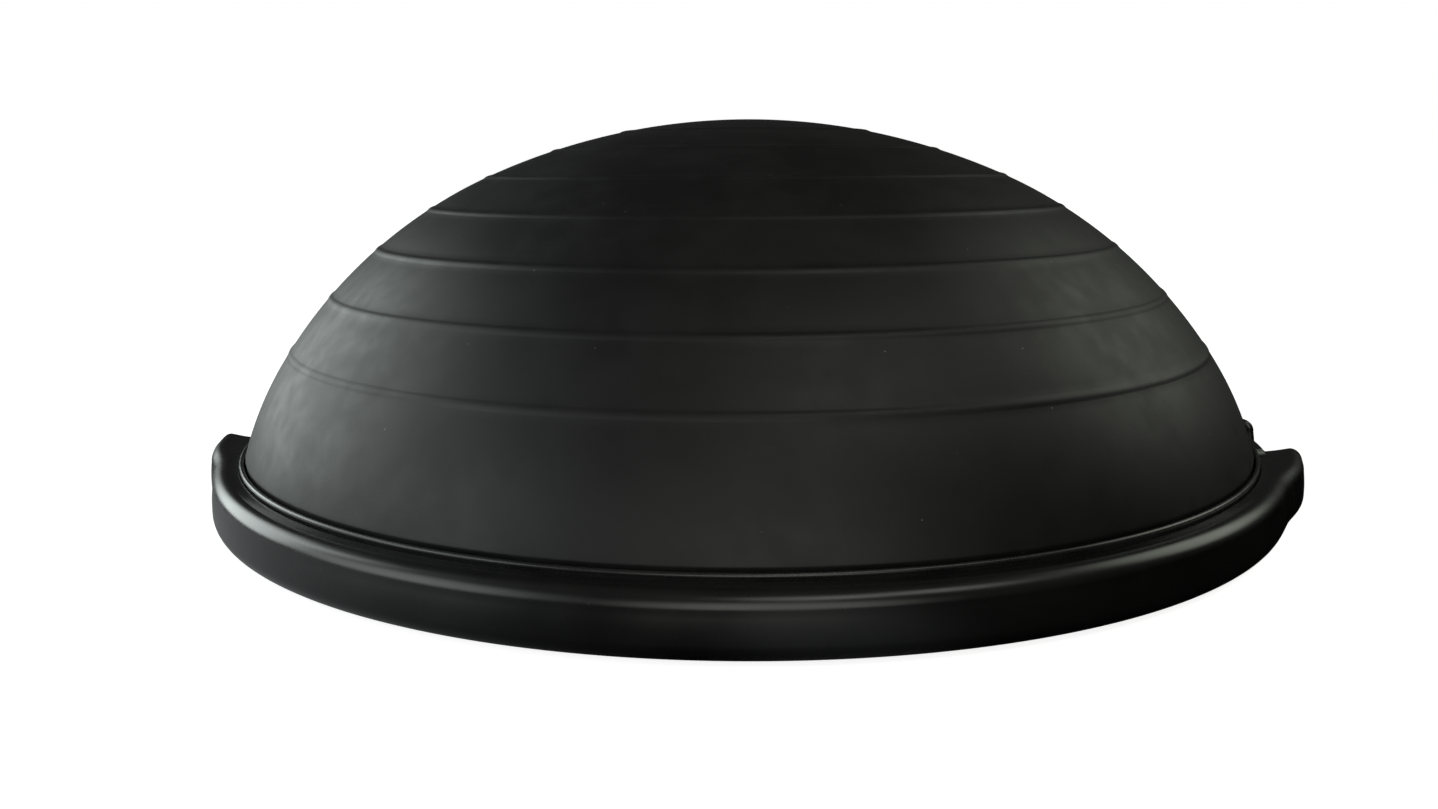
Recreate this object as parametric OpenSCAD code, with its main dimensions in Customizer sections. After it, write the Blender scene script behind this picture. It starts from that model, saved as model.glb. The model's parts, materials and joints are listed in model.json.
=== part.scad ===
// Balance dome trainer: an inflated half dome clamped to a round platform with two hand holds.
// The origin is the centre of the underside, on the floor. +Z is up, the hand holds are on the X axis.

/* [Platform] */
// Diameter of the platform at its outer wall
platform_d = 635; // [620:1:650]
// Span across the two hand holds
handle_span = 666; // [658:1:670]
// Height of the platform's top edge above the floor
platform_h = 31.2; // [30:0.1:33]
// Radius of the rounded lower edge of the rim
rim_lower_r = 9; // [8:0.5:13]
// Radius of the rounded shoulder of the rim
rim_shoulder_r = 8; // [5:0.5:9]
// Wall thickness of the rim moulding
rim_wall = 3.2; // [2.6:0.1:3.6]

/* [Hand holds] */
// Angle from the X axis at which a hand hold starts to bulge out of the round rim
lobe_start_a = 20.5; // [18:0.5:24]
// Half width of the hand recess at its inner side
recess_in_w = 46; // [43:0.5:49]
// Half width of the hand recess at its outer side
recess_out_w = 34; // [30:0.5:36]
// Height of the grip bar below the hand recess
grip_bar_h = 13; // [12:0.5:13.5]

/* [Dome] */
// Height of the crown above the floor
dome_h = 222; // [215:1:228]
// Radius of curvature of the crown
crown_r = 380.5; // [375:0.5:385]
// Polar angle at which the crown meets the side
crown_a = 24; // [22:0.5:26]
// Radius of curvature of the side
side_r = 278.5; // [277:0.5:280]
// Wall thickness of the dome
dome_wall = 4.5; // [3.5:0.5:5]
// Width of a raised rib on the dome
rib_w = 5; // [4:0.5:8]
// Height of a raised rib on the dome
rib_h = 0.5; // [0.3:0.1:1.2]
// Polar angle of the lowest rib
rib_first_a = 55.6; // [54:0.1:57]
// Angle between two ribs on the side
rib_side_pitch = 7.85; // [7.5:0.05:8]
// Angle between two ribs on the crown
rib_crown_pitch = 6.5; // [6:0.1:7]

/* [Fastening] */
// Number of clamp screws round the dome flange
clamp_count = 24; // [12:12:24]
// Radius of the clamp screw circle
clamp_pcr = 282; // [280:0.5:284]
// Number of screws that hold the rim
rim_screw_count = 12; // [4:8:12]
// Number of screws round the underside cover
cover_screw_count = 12; // [6:6:12]

/* [Hidden] */
$fn = 96;
eps = 0.1;            // overlap of cutting shapes past a face
fit_gap = 0.05;       // radial clearance of screws and inserts in their holes
hole_gap = 0.3;       // radial clearance where a screw or its head passes through freely
flange_gap = 0.5;     // and where a clamp screw passes the dome's soft flange

// Levels, from the floor up
foot_z = 1;                       // underside of the hard mouldings
cover_top_z = 6;                  // top of the underside cover
rib_foot_z = 6.2;                 // lower edge of the base plate's hoops and bosses
rib_step = 0.3;                   // the radial ribs, and the rim's bosses, end a little higher
skin_z = 21;                      // underside of the base plate's skin
skin_top_z = 25;                  // top of the base plate, where the dome flange lies
flange_top_z = skin_top_z + 4;    // top of the dome flange
clamp_top_z = flange_top_z + 8;   // top of the clamp ring
through_z = 40;                   // above everything that gets drilled

// Rim
rim_r = platform_d / 2;
handle_r = handle_span / 2;
rim_in_r = 302.2;                 // bore of the rim, outside the trim
wall_lean = 1;                    // the wall is this much further in at the shoulder than at its foot
recess_r = 308;                   // inner wall of the hand recess
leg_r = 305.2;                    // outer side of the leg that stands on the base plate
rim_boss_r = 3.6;
access_h = 11;                    // depth of the notches that let the rim's screws in

// Trim between the rim and the dome
trim_in_r = 299.5;
trim_out_r = 302.1;
trim_strip_z = 31.6;              // top of the strip that holds the bead
trim_bead_r = 1.4;
trim_bead_c = [300.7, 33.1];

// Base plate
plate_r = 312;                    // edge of the base plate under the rim
web_t = 3;                        // thickness of its hoops and radial ribs
hoop_rs = [110, 190, 298.5];      // inner radii of its hoops
hub_r = 26;                       // inner radius of the hoop round the valve
notch_w = 60;                     // half width of the notch that clears a hand recess
notch_r = recess_r - rim_wall - 0.5;

// Underside cover, its mat and the ring that stands on the floor
cover_r = 301.8;
mat_in_r = 42.4;
mat_out_r = 259;
mat_z = 0.6;                      // lowest face of the mat
mat_seat_z = 2.4;
ring_in_r = 270;
ring_out_r = 300;
ring_seat_z = 3.2;
seat_gap = 0.3;                   // gap round the mat and the ring in their seats
finger_r = 25;                    // finger hole round the plug

// Clamp joint of the dome
clamp_in_r = 271;
clamp_out_r = 292.5;
groove_r = 289;                   // inner radius of the seal's groove
groove_w = 4;
groove_h = 2.5;
clamp_boss_r = 8.5;
clamp_boss_z = 15;                // underside of the clamp screw bosses
insert_r = 3.5;
insert_h = 6.5;
clamp_shank_r = 2.5;
clamp_head_r = 4.25;
clamp_head_h = 3;
socket_r = 1.7;
socket_h = 1.8;
washer_r = 7;
washer_h = 1.2;

// Self-tapping screws
tap_r = 1.75;
tap_head_r = 3.5;
tap_head_h = 2;
drive_l = 4;                      // length, width and depth of one slot of the cross
drive_w = 0.8;
drive_h = 1;
rim_screw_pcr = 306;
rim_screw_tip_z = 29.2;
cover_screw_pcr = 264.5;
inner_screw_pcr = 33;
inner_screw_count = 4;
cover_screw_head_z = 1.4;
cover_screw_tip_z = 16.5;
cover_seat_z = 3.4;               // top of the seats for the cover screws' heads
cover_boss_r = 4.5;
tip_gap = 0.4;                    // room beyond a screw's tip

// Valve
valve_hole_r = 10;
valve_body_r = valve_hole_r - 0.1;
valve_bore_r = 5;
valve_flange_z = 16.8;            // underside of the valve body's flange
valve_flange_h = 3;
valve_flange_r = 16;
valve_top_z = 34;
valve_washer_r = 17;
valve_washer_h = 1;
nut_r = 15.5;                     // to the nut's corners
nut_h = 5;
knob_r = 5;                       // finger knob of the plug
knob_z = 7;
stem_r = 3.2;
plug_head_r = 12;
plug_tip_r = 3.6;
plug_tip_z = 29;

// Dome arcs: crown, side, a steeper foot, then a small arc that tucks the wall in behind the trim
foot_a = 58;
foot_r = 190;
foot_end_a = 73.2;
tuck_r = 2.5;
tuck_end_a = 110;
side_ribs = 5;
crown_ribs = 2;
plain_n = 3;                      // points between two ribs
foot_n = 5;                       // points on the foot
side_c = [(crown_r - side_r) * sin(crown_a), dome_h - crown_r + (crown_r - side_r) * cos(crown_a)];
foot_c = side_c + (side_r - foot_r) * [sin(foot_a), cos(foot_a)];
tuck_c = foot_c + (foot_r - tuck_r) * [sin(foot_end_a), cos(foot_end_a)];
flange_in_r = 268;

function polar(c, r, a) = c + r * [sin(a), cos(a)];

// Point of the dome's section at polar angle a, moved outwards by off
function dome_point(a, off = 0) =
    a < crown_a ? polar([0, dome_h - crown_r], crown_r + off, a) :
    a < foot_a ? polar(side_c, side_r + off, a) :
    a < foot_end_a ? polar(foot_c, foot_r + off, a) :
    polar(tuck_c, tuck_r + off, a);

function curve_r(a) = a < crown_a ? crown_r : side_r;

// Polar angles of the ribs, from the crown down
function rib_angles() = concat(
    [for (i = [crown_ribs:-1:1]) rib_first_a - (side_ribs - 1) * rib_side_pitch - i * rib_crown_pitch],
    [for (i = [side_ribs - 1:-1:0]) rib_first_a - i * rib_side_pitch]
);

// Half-round bump of one rib, as five points across its width
function rib_points(a) = [
    for (t = [-1:0.5:1])
        dome_point(a + t * rib_w / 2 * 180 / (PI * curve_r(a)), rib_h * cos(90 * t))
];

// Plain stretch between two polar angles, ends left out
function stretch(a0, a1, n, off = 0) = [for (i = [1:n]) dome_point(a0 + (a1 - a0) * i / (n + 1), off)];

function dome_outside() = let (marks = concat(rib_angles(), [foot_a])) concat(
    [[0, dome_h]],
    stretch(0, marks[0], plain_n),
    [for (i = [0:len(marks) - 2])
        each concat(rib_points(marks[i]), stretch(marks[i], marks[i + 1], plain_n))],
    [dome_point(foot_a)],
    stretch(foot_a, foot_end_a, foot_n)
);

// Points of an arc from angle a0 to a1, counted from +r
function arc(c, r, a0, a1, n = 4) = [
    for (i = [0:n]) let (a = a0 + (a1 - a0) * i / n) c + r * [cos(a), sin(a)]
];

// Copies round the Z axis, the first at angle a0
module ring_of(n, r, a0 = 0) {
    for (i = [0:n - 1]) rotate(a0 + i * 360 / n) translate([r, 0, 0]) children();
}

// Upright cylinder between two levels
module post(r, z0, z1) {
    translate([0, 0, z0]) cylinder(r = r, h = z1 - z0);
}

// The ring patterns of the fasteners
module at_clamp_screws() {
    ring_of(clamp_count, clamp_pcr, 180 / clamp_count) children();
}

module at_rim_screws() {
    ring_of(rim_screw_count, rim_screw_pcr, 180 / rim_screw_count) children();
}

module at_cover_screws() {
    ring_of(cover_screw_count, cover_screw_pcr) children();
    ring_of(inner_screw_count, inner_screw_pcr, 45) children();
}

// Flat ring between two radii and two levels
module hoop(r0, r1, z0, z1) {
    rotate_extrude() translate([r0, z0]) square([r1 - r0, z1 - z0]);
}

// ---------- Rim with hand holds ----------

// Each hand hold bulges out of the rim as the same section turned about its own upright axis
bulge_x = (pow(handle_r, 2) - pow(rim_r, 2)) / (2 * (handle_r - rim_r * cos(lobe_start_a)));
bulge_r = handle_r - bulge_x;
bulge_a = 50;                     // half of the bulge's sector, before it is cut to its wedge
skin_step = 0.15;                 // the bulge's top and underside lie this much inside the round rim's
section_depth = 32;               // reaches in past the bore, even beside the X axis

// Section of the rim out to radius wall_r, shrunk by inset
module rim_section(wall_r, inset = 0) {
    low_c = [wall_r - rim_lower_r, foot_z + rim_lower_r];
    top_c = [wall_r - rim_shoulder_r - wall_lean, platform_h - rim_shoulder_r];
    polygon(concat(
        [[wall_r - section_depth, foot_z + inset]],
        arc(low_c, rim_lower_r - inset, -90, 0),
        arc(top_c, rim_shoulder_r - inset, 0, 90),
        [[wall_r - section_depth, platform_h - inset]]
    ));
}

// Full shape of the rim, shrunk by inset: two round sectors, and a bulging wedge between them at each side
module rim_form(inset = 0) {
    far = 400;
    cut_a = lobe_start_a - 0.5;      // the bulge stands just proud of the round rim here
    lap_a = 0.2;                     // the round sectors reach a little into the wedges
    for (side = [0, 180]) rotate(side) {
        rotate(cut_a - lap_a) rotate_extrude(angle = 180 - 2 * (cut_a - lap_a)) rim_section(rim_r, inset);
        intersection() {
            translate([bulge_x, 0, 0]) rotate(-bulge_a) rotate_extrude(angle = 2 * bulge_a)
                rim_section(bulge_r + skin_step, inset + skin_step);
            linear_extrude(through_z) polygon([[0, 0], [far, -far * tan(cut_a)], [far, far * tan(cut_a)]]);
        }
    }
}

// Space above the grip bar, between the two lobes of a hand hold; grow thickens it on all sides
module hand_recess(grow = 0) {
    side_a = atan((recess_in_w - recess_out_w) / (handle_r - recess_r));
    x0 = recess_r - 18;
    x1 = handle_r + 14;
    w0 = recess_in_w + (recess_r - x0) * tan(side_a) + grow;
    w1 = recess_in_w + (recess_r - x1) * tan(side_a) + grow;
    for (side = [0, 180]) rotate(side) translate([0, 0, grip_bar_h - grow])
        linear_extrude(through_z) difference() {
            polygon([[x0, -w0], [x1, -w1], [x1, w1], [x0, w0]]);
            circle(r = recess_r - grow);
        }
}

module handle_rim() {
    color([0.07, 0.07, 0.07]) difference() {
        rim_form();
        post(rim_in_r, 0, through_z);
        hand_recess();
        // hollow inside, open towards the base plate, with a leg and screw bosses left standing
        difference() {
            rim_form(rim_wall);
            hand_recess(rim_wall);
            hoop(rim_in_r - 15, leg_r, skin_top_z, through_z);
            at_rim_screws() post(rim_boss_r, skin_top_z + rib_step, through_z);
        }
        // pilot holes, and notches in the underside, open to the bore, that let the screws in
        at_rim_screws() {
            post(tap_r + fit_gap, skin_top_z - eps, rim_screw_tip_z + tip_gap);
            post(tap_head_r + tip_gap, 0, foot_z + access_h);
            translate([-3 * tap_head_r, -tap_head_r, 0])
                cube([3 * tap_head_r, 2 * tap_head_r, access_h]);
        }
    }
}

// Soft bead that fills the joint between the rim and the dome, on the strip that holds it
module dome_trim() {
    color([0.1, 0.1, 0.1]) rotate_extrude() polygon(concat(
        [[trim_in_r, skin_top_z], [trim_out_r, skin_top_z], [trim_out_r, trim_strip_z]],
        arc(trim_bead_c, trim_bead_r, -45, 225, 18),
        [[trim_in_r, trim_strip_z]]
    ));
}

// ---------- Base ----------

module base_plate() {
    color([0.1, 0.1, 0.1]) difference() {
        union() {
            post(plate_r, skin_z, skin_top_z);
            for (r = hoop_rs) hoop(r, r + web_t, rib_foot_z, skin_z + eps);
            hoop(hub_r, hub_r + web_t + 0.5, rib_foot_z, skin_z + eps);
            for (i = [0:clamp_count - 1])
                rotate(i * 360 / clamp_count)
                    translate([hub_r + web_t - 1, -web_t / 2, rib_foot_z + rib_step])
                        cube([hoop_rs[2] - hub_r - 1, web_t, skin_z - rib_foot_z]);
            at_clamp_screws() post(clamp_boss_r, clamp_boss_z, skin_z + eps);
            at_cover_screws() post(cover_boss_r, rib_foot_z, skin_z + eps);
        }
        post(valve_hole_r, 0, through_z);
        at_clamp_screws() post(clamp_shank_r + hole_gap, 0, through_z);
        at_cover_screws() post(tap_r + fit_gap, 0, cover_screw_tip_z + tip_gap);
        at_rim_screws() post(tap_r + hole_gap, 0, through_z);
        // groove of the seal
        hoop(groove_r, groove_r + groove_w, skin_top_z - groove_h, skin_top_z + eps);
        // notches that clear the hand recesses
        for (side = [0, 180]) rotate(side) intersection() {
            translate([notch_r - 15, -notch_w, 0]) cube([2 * section_depth, 2 * notch_w, through_z]);
            difference() {
                post(plate_r + section_depth, -1, through_z + 1);
                post(notch_r, -2, through_z + 2);
            }
        }
    }
}

module deck_cover() {
    color([0.08, 0.08, 0.08]) difference() {
        post(cover_r, foot_z, cover_top_z);
        post(finger_r, 0, through_z);
        hoop(mat_in_r - seat_gap, mat_out_r + seat_gap, 0, mat_seat_z);
        hoop(ring_in_r - seat_gap, ring_out_r + seat_gap, 0, ring_seat_z);
        at_cover_screws() {
            post(tap_r + hole_gap, 0, through_z);
            post(tap_head_r + hole_gap, 0, cover_seat_z);
        }
    }
}

// Non-slip mat for the feet when the trainer is used dome down
module deck_mat() {
    color([0.13, 0.13, 0.13]) hoop(mat_in_r, mat_out_r, mat_z, mat_seat_z);
}

// Non-slip ring that stands on the floor
module grip_ring() {
    color([0.13, 0.13, 0.13]) hoop(ring_in_r, ring_out_r, 0, ring_seat_z);
}

// ---------- Dome and its clamp ----------

module dome_bladder() {
    tuck_r0 = dome_point(tuck_end_a)[0];      // radius at which the wall drops to the flange
    tuck_n = 5;
    in_n = 24;                                // points of the inner arcs
    color([0.1, 0.1, 0.105]) difference() {
        rotate_extrude() polygon(concat(
            dome_outside(),
            [for (i = [0:tuck_n]) dome_point(foot_end_a + (tuck_end_a - foot_end_a) * i / tuck_n)],
            [[tuck_r0, skin_top_z], [flange_in_r, skin_top_z], [flange_in_r, flange_top_z]],
            [[tuck_r0 - dome_wall, flange_top_z]],
            [for (i = [0:in_n - 1]) dome_point(foot_end_a * (1 - i / in_n), -dome_wall)],
            [[0, dome_h - dome_wall]]
        ));
        at_clamp_screws() post(clamp_shank_r + flange_gap, skin_top_z - 1, flange_top_z + 1);
    }
}

module clamp_ring() {
    color([0.15, 0.15, 0.15]) difference() {
        hoop(clamp_in_r, clamp_out_r, flange_top_z, clamp_top_z);
        at_clamp_screws() post(insert_r + fit_gap, flange_top_z - eps, flange_top_z + insert_h);
    }
}

module flange_seal() {
    color([0.2, 0.2, 0.2])
        hoop(groove_r + eps, groove_r + groove_w - eps, skin_top_z - groove_h, skin_top_z);
}

module clamp_inserts() {
    color([0.75, 0.6, 0.3]) at_clamp_screws() difference() {
        post(insert_r, flange_top_z, flange_top_z + insert_h);
        post(clamp_shank_r + fit_gap, flange_top_z - eps, flange_top_z + insert_h - 1);
    }
}

// Cap screw with a hexagon socket, head down, under the base plate
module clamp_screws() {
    head_top = clamp_boss_z - washer_h;
    head_z = head_top - clamp_head_h;
    color([0.6, 0.6, 0.62]) at_clamp_screws() difference() {
        union() {
            post(clamp_shank_r, head_top - eps, flange_top_z + insert_h - 1.5);
            post(clamp_head_r, head_z, head_top);
        }
        translate([0, 0, head_z - eps]) cylinder(r = socket_r, h = socket_h + eps, $fn = 6);
    }
}

module clamp_washers() {
    color([0.12, 0.12, 0.12]) at_clamp_screws()
        hoop(clamp_shank_r + eps, washer_r, clamp_boss_z - washer_h, clamp_boss_z);
}

// Pan head screw with a cross-shaped drive, head down
module tapping_screw(head_z, tip_z) {
    difference() {
        union() {
            post(tap_r, head_z + tap_head_h - eps, tip_z);
            post(tap_head_r, head_z, head_z + tap_head_h);
        }
        for (a = [0, 90]) rotate(a)
            translate([-drive_l / 2, -drive_w / 2, head_z - eps]) cube([drive_l, drive_w, drive_h + eps]);
    }
}

module rim_screws() {
    color([0.6, 0.6, 0.62]) at_rim_screws() tapping_screw(skin_z - tap_head_h, rim_screw_tip_z);
}

module cover_screws() {
    color([0.6, 0.6, 0.62]) at_cover_screws() tapping_screw(cover_screw_head_z, cover_screw_tip_z);
}

// ---------- Valve ----------

module valve_body() {
    color([0.16, 0.16, 0.16]) difference() {
        union() {
            post(valve_flange_r, valve_flange_z, valve_flange_z + valve_flange_h);
            post(valve_body_r, valve_flange_z + valve_flange_h - eps, valve_top_z);
        }
        post(valve_bore_r, 0, through_z);
    }
}

module valve_seal() {
    color([0.2, 0.2, 0.2]) hoop(valve_hole_r, valve_flange_r, valve_flange_z + valve_flange_h, skin_z);
}

module valve_washer() {
    color([0.65, 0.65, 0.67]) hoop(valve_hole_r, valve_washer_r, skin_top_z, skin_top_z + valve_washer_h);
}

module valve_nut() {
    color([0.16, 0.16, 0.16]) difference() {
        translate([0, 0, skin_top_z + valve_washer_h]) cylinder(r = nut_r, h = nut_h, $fn = 6);
        post(valve_body_r + fit_gap, skin_top_z, through_z);
    }
}

// Push-in plug: a finger knob on a stem, a flat head that seals on the body, and a shank with a tapered tip
module valve_plug() {
    shank_r = valve_bore_r - fit_gap;
    stem_z = knob_z + 3.5;
    head_z = knob_z + 5.5;
    color([0.14, 0.14, 0.14]) rotate_extrude() polygon([
        [0, knob_z], [knob_r, knob_z], [knob_r, stem_z - 1], [stem_r, stem_z],
        [stem_r, head_z], [plug_head_r, head_z + 0.8],
        [plug_head_r, valve_flange_z], [shank_r, valve_flange_z],
        [shank_r, plug_tip_z - 3], [plug_tip_r, plug_tip_z], [0, plug_tip_z]
    ]);
}

base_plate();
deck_cover();
deck_mat();
grip_ring();
handle_rim();
dome_trim();
dome_bladder();
clamp_ring();
flange_seal();
clamp_inserts();
clamp_screws();
clamp_washers();
rim_screws();
cover_screws();
valve_body();
valve_seal();
valve_washer();
valve_nut();
valve_plug();
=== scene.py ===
"""Looks of the balance dome trainer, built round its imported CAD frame.

Metres, +Z up, the floor at z = 0, the hand holds on the X axis and the front towards -Y.
The dome, rim, trim, mat and grip ring get meshes of their own here. The other pieces keep their
CAD meshes, with finished materials and, but for the base plate, rounded edges.
"""
import json
import math

import bmesh
import bpy
import numpy as np
from mathutils import Matrix, Vector


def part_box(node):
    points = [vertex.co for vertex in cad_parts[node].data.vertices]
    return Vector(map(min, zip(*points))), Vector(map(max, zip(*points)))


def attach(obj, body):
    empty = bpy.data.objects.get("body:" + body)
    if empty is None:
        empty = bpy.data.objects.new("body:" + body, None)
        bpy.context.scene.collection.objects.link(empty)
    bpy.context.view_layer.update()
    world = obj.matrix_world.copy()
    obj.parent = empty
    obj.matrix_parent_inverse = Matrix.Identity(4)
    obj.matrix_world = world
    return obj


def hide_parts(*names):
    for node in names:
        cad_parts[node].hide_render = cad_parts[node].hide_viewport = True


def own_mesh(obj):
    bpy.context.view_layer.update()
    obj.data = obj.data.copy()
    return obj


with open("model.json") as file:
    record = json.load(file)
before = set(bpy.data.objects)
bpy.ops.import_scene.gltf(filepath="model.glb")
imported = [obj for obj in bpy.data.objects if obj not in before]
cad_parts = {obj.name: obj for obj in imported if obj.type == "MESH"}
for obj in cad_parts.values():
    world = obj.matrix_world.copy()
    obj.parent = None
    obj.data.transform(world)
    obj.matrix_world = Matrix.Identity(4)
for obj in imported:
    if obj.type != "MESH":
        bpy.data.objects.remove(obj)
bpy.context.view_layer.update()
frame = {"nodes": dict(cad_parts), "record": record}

MM = 0.001

# ---------------------------------------------------------------- sizes from the frame
rim_low, rim_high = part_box("handle_rim")
dome_low, dome_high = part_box("dome_bladder")
trim_low, trim_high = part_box("dome_trim")
mat_low, mat_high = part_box("deck_mat")
ring_low, ring_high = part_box("grip_ring")
RIM_R = rim_high.y
HANDLE_R = rim_high.x
RIM_TOP = rim_high.z
RIM_FOOT = rim_low.z
CROWN_Z = dome_high.z
FLANGE_Z = dome_low.z

# The dome's section: a crown, a side, a steeper foot, and a small arc that tucks in behind the trim
CROWN_R = 380.5 * MM
CROWN_A = math.radians(24)
SIDE_R = 278.5 * MM
FOOT_A = math.radians(58)
FOOT_R = 190 * MM
FOOT_END_A = math.radians(73.2)
TUCK_R = 2.5 * MM
TUCK_END_A = math.radians(110)
DOME_WALL = 4.5 * MM
FLANGE_IN_R = 268 * MM
FLANGE_T = 4 * MM
RIB_W = 5 * MM
RIB_H = 0.5 * MM
RIB_REACH = 1.15            # a rib's fillets end this many half widths from its middle
SIDE_RIBS = [math.radians(55.6 - 7.85 * i) for i in range(5)]
CROWN_RIBS = [SIDE_RIBS[-1] - math.radians(6.5 * i) for i in (1, 2)]

# The rim's section
LOWER_R = 9 * MM            # rounded lower edge
SHOULDER_R = 8 * MM         # rounded shoulder
WALL_LEAN = 1 * MM          # the wall is this much further in at the shoulder than at its foot
WALL_BOW = 0.3 * MM         # and swells this much between them
TOP_DIP = 0.35 * MM         # hollow of the top between the shoulder and the bore
LIP_R = 0.8 * MM            # rounded edge of the bore
RIM_WALL = 3.2 * MM
RIM_BORE = 302.2 * MM
LEG_R = 305.2 * MM          # outer side of the leg that stands on the base plate
HAIR = 0.2 * MM             # a step too small to see, which keeps two points apart

# The hand holds
LOBE_START_A = math.radians(20.5)
LOBE_BLEND = 3 * MM         # softness of the hollow line where a lobe leaves the round rim
RECESS_R = 308 * MM
RECESS_IN_W = 46 * MM       # half width of the recess at its inner side
RECESS_OUT_W = 34 * MM      # and at its outer side
GRIP_Z = 13 * MM            # top of the grip bar
GRIP_EDGE_R = 4.5 * MM
RECESS_FILLET = 2 * MM
LOBE_EDGE_R = 6 * MM        # rounding between a lobe's outer side and its end wall
LOBE_TOP_R = 3 * MM         # rounding between a lobe's top and its end wall
END_FILLET = 3 * MM         # hollow rounding between an end wall and the grip bar

# The notches that let the rim's screws in from below
NOTCH_COUNT = 12
NOTCH_PCR = 306 * MM
NOTCH_R = 3.9 * MM
NOTCH_H = 12 * MM

# The trim, the mat and the grip ring
TRIM_IN_R = 299.5 * MM
BEAD_R = 1.4 * MM
BEAD_C_R = 300.7 * MM
MAT_IN_R = 42.4 * MM
RING_IN_R = 270 * MM


# ---------------------------------------------------------------- mesh helpers
def add_piece(name, verts, faces):
    """A smooth-shaded object from points and faces, its normals pointing out of the closed mesh."""
    mesh = bpy.data.meshes.new(name)
    mesh.from_pydata([tuple(v) for v in verts], [], faces)
    work = bmesh.new()
    work.from_mesh(mesh)
    bmesh.ops.recalc_face_normals(work, faces=work.faces)
    work.to_mesh(mesh)
    work.free()
    mesh.shade_smooth()
    piece = bpy.data.objects.new(name, mesh)
    bpy.context.scene.collection.objects.link(piece)
    return piece


def torus_grid(name, rows):
    """A closed ring from rows of points, where rows follow each other round the Z axis."""
    rows = np.asarray(rows, float)
    count, columns = rows.shape[:2]
    faces = []
    for i in range(count):
        a, b = i * columns, (i + 1) % count * columns
        for j in range(columns):
            k = (j + 1) % columns
            faces.append((a + j, b + j, b + k, a + k))
    return add_piece(name, rows.reshape(-1, 3), faces)


def turned(r, z, angle):
    """Points at radius r, height z and an angle round the Z axis."""
    return np.stack([r * np.cos(angle), r * np.sin(angle), z * np.ones_like(r)], axis=-1)


def arc(centre, radius, start, end, count):
    """Points (r, z) of an arc without its last one, angles in degrees from +r towards +z."""
    a = np.radians(np.linspace(start, end, count, endpoint=False))
    return np.column_stack([centre[0] + radius * np.cos(a), centre[1] + radius * np.sin(a)])


def line(start, end, count):
    """Points (r, z) from start to end, without the end."""
    t = np.linspace(0, 1, count, endpoint=False)[:, None]
    return np.asarray(start) * (1 - t) + np.asarray(end) * t


def smoothstep(t):
    t = np.clip(t, 0.0, 1.0)
    return t * t * (3 - 2 * t)


# ---------------------------------------------------------------- dome
SIDE_C = (
    (CROWN_R - SIDE_R) * math.sin(CROWN_A),
    CROWN_Z - CROWN_R + (CROWN_R - SIDE_R) * math.cos(CROWN_A),
)
FOOT_C = (
    SIDE_C[0] + (SIDE_R - FOOT_R) * math.sin(FOOT_A),
    SIDE_C[1] + (SIDE_R - FOOT_R) * math.cos(FOOT_A),
)
TUCK_C = (
    FOOT_C[0] + (FOOT_R - TUCK_R) * math.sin(FOOT_END_A),
    FOOT_C[1] + (FOOT_R - TUCK_R) * math.cos(FOOT_END_A),
)
DOME_STEPS = 400


def dome_point(a, off=0.0):
    """Point (r, z) of the dome's section at polar angle a, moved outwards by off."""
    if a < CROWN_A:
        centre, r = (0.0, CROWN_Z - CROWN_R), CROWN_R
    elif a < FOOT_A:
        centre, r = SIDE_C, SIDE_R
    elif a < FOOT_END_A:
        centre, r = FOOT_C, FOOT_R
    else:
        centre, r = TUCK_C, TUCK_R
    return centre[0] + (r + off) * math.sin(a), centre[1] + (r + off) * math.cos(a)


def rib_points(a):
    """Soft half-round bump of one rib, with small fillets where it leaves the skin."""
    half = RIB_W / 2 / (CROWN_R if a < CROWN_A else SIDE_R)
    steps = np.linspace(-RIB_REACH, RIB_REACH, 13)
    rises = RIB_H * np.maximum(0.0, 1 - (steps / RIB_REACH) ** 2) ** 1.6
    return [dome_point(a + t * half, rise) for t, rise in zip(steps, rises)]


def dome_outline():
    """Outer section from the crown to the tuck, fine across the ribs and coarse between them."""
    plain_step = 3.4 * MM
    points = [dome_point(0)]
    edge = 0.0
    for a in sorted(CROWN_RIBS + SIDE_RIBS):
        radius = CROWN_R if a < CROWN_A else SIDE_R
        reach = RIB_REACH * RIB_W / 2 / radius
        start = a - reach
        count = max(3, round((start - edge) * radius / plain_step))
        points += [dome_point(t) for t in np.linspace(edge, start, count, endpoint=False)[1:]]
        points += rib_points(a)
        edge = a + reach
    points += [dome_point(a) for a in np.linspace(edge, FOOT_END_A, 24, endpoint=False)[1:]]
    points += [dome_point(a) for a in np.linspace(FOOT_END_A, TUCK_END_A, 7)]
    return points


def dome_section():
    """Half of the dome's closed section, from the crown's outside round to the crown's inside."""
    base_r = dome_point(TUCK_END_A)[0]
    inside = [dome_point(a, -DOME_WALL) for a in np.linspace(FOOT_END_A, 0, 33)]
    flange = [
        (base_r, FLANGE_Z),
        (FLANGE_IN_R, FLANGE_Z),
        (FLANGE_IN_R, FLANGE_Z + FLANGE_T),
        (base_r - DOME_WALL, FLANGE_Z + FLANGE_T),
    ]
    return np.array(dome_outline() + flange + inside)


def uneven(co):
    """Moves the skin's points a little, as a moulded and inflated skin is never quite even."""
    most = 0.2 * MM
    still_z = 45 * MM           # the skin keeps its shape below this height, and at the crown
    rise, crown_rise = 60 * MM, 15 * MM
    middle = np.array([0, 0, 20 * MM])
    angle = np.arctan2(co[:, 1], co[:, 0])
    height = co[:, 2] / CROWN_Z
    swell = (
        0.5 * np.sin(3 * angle + 1.1 + 4 * height)
        + 0.3 * np.sin(7 * angle - 0.7 - 6 * height)
        + 0.2 * np.sin(16 * angle + 2.4 + 11 * height)
    )
    loose = smoothstep((co[:, 2] - still_z) / rise) * smoothstep((CROWN_Z - co[:, 2]) / crown_rise)
    outward = co - middle
    outward /= np.linalg.norm(outward, axis=1)[:, None]
    return co + outward * (most * swell * loose)[:, None]


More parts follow.
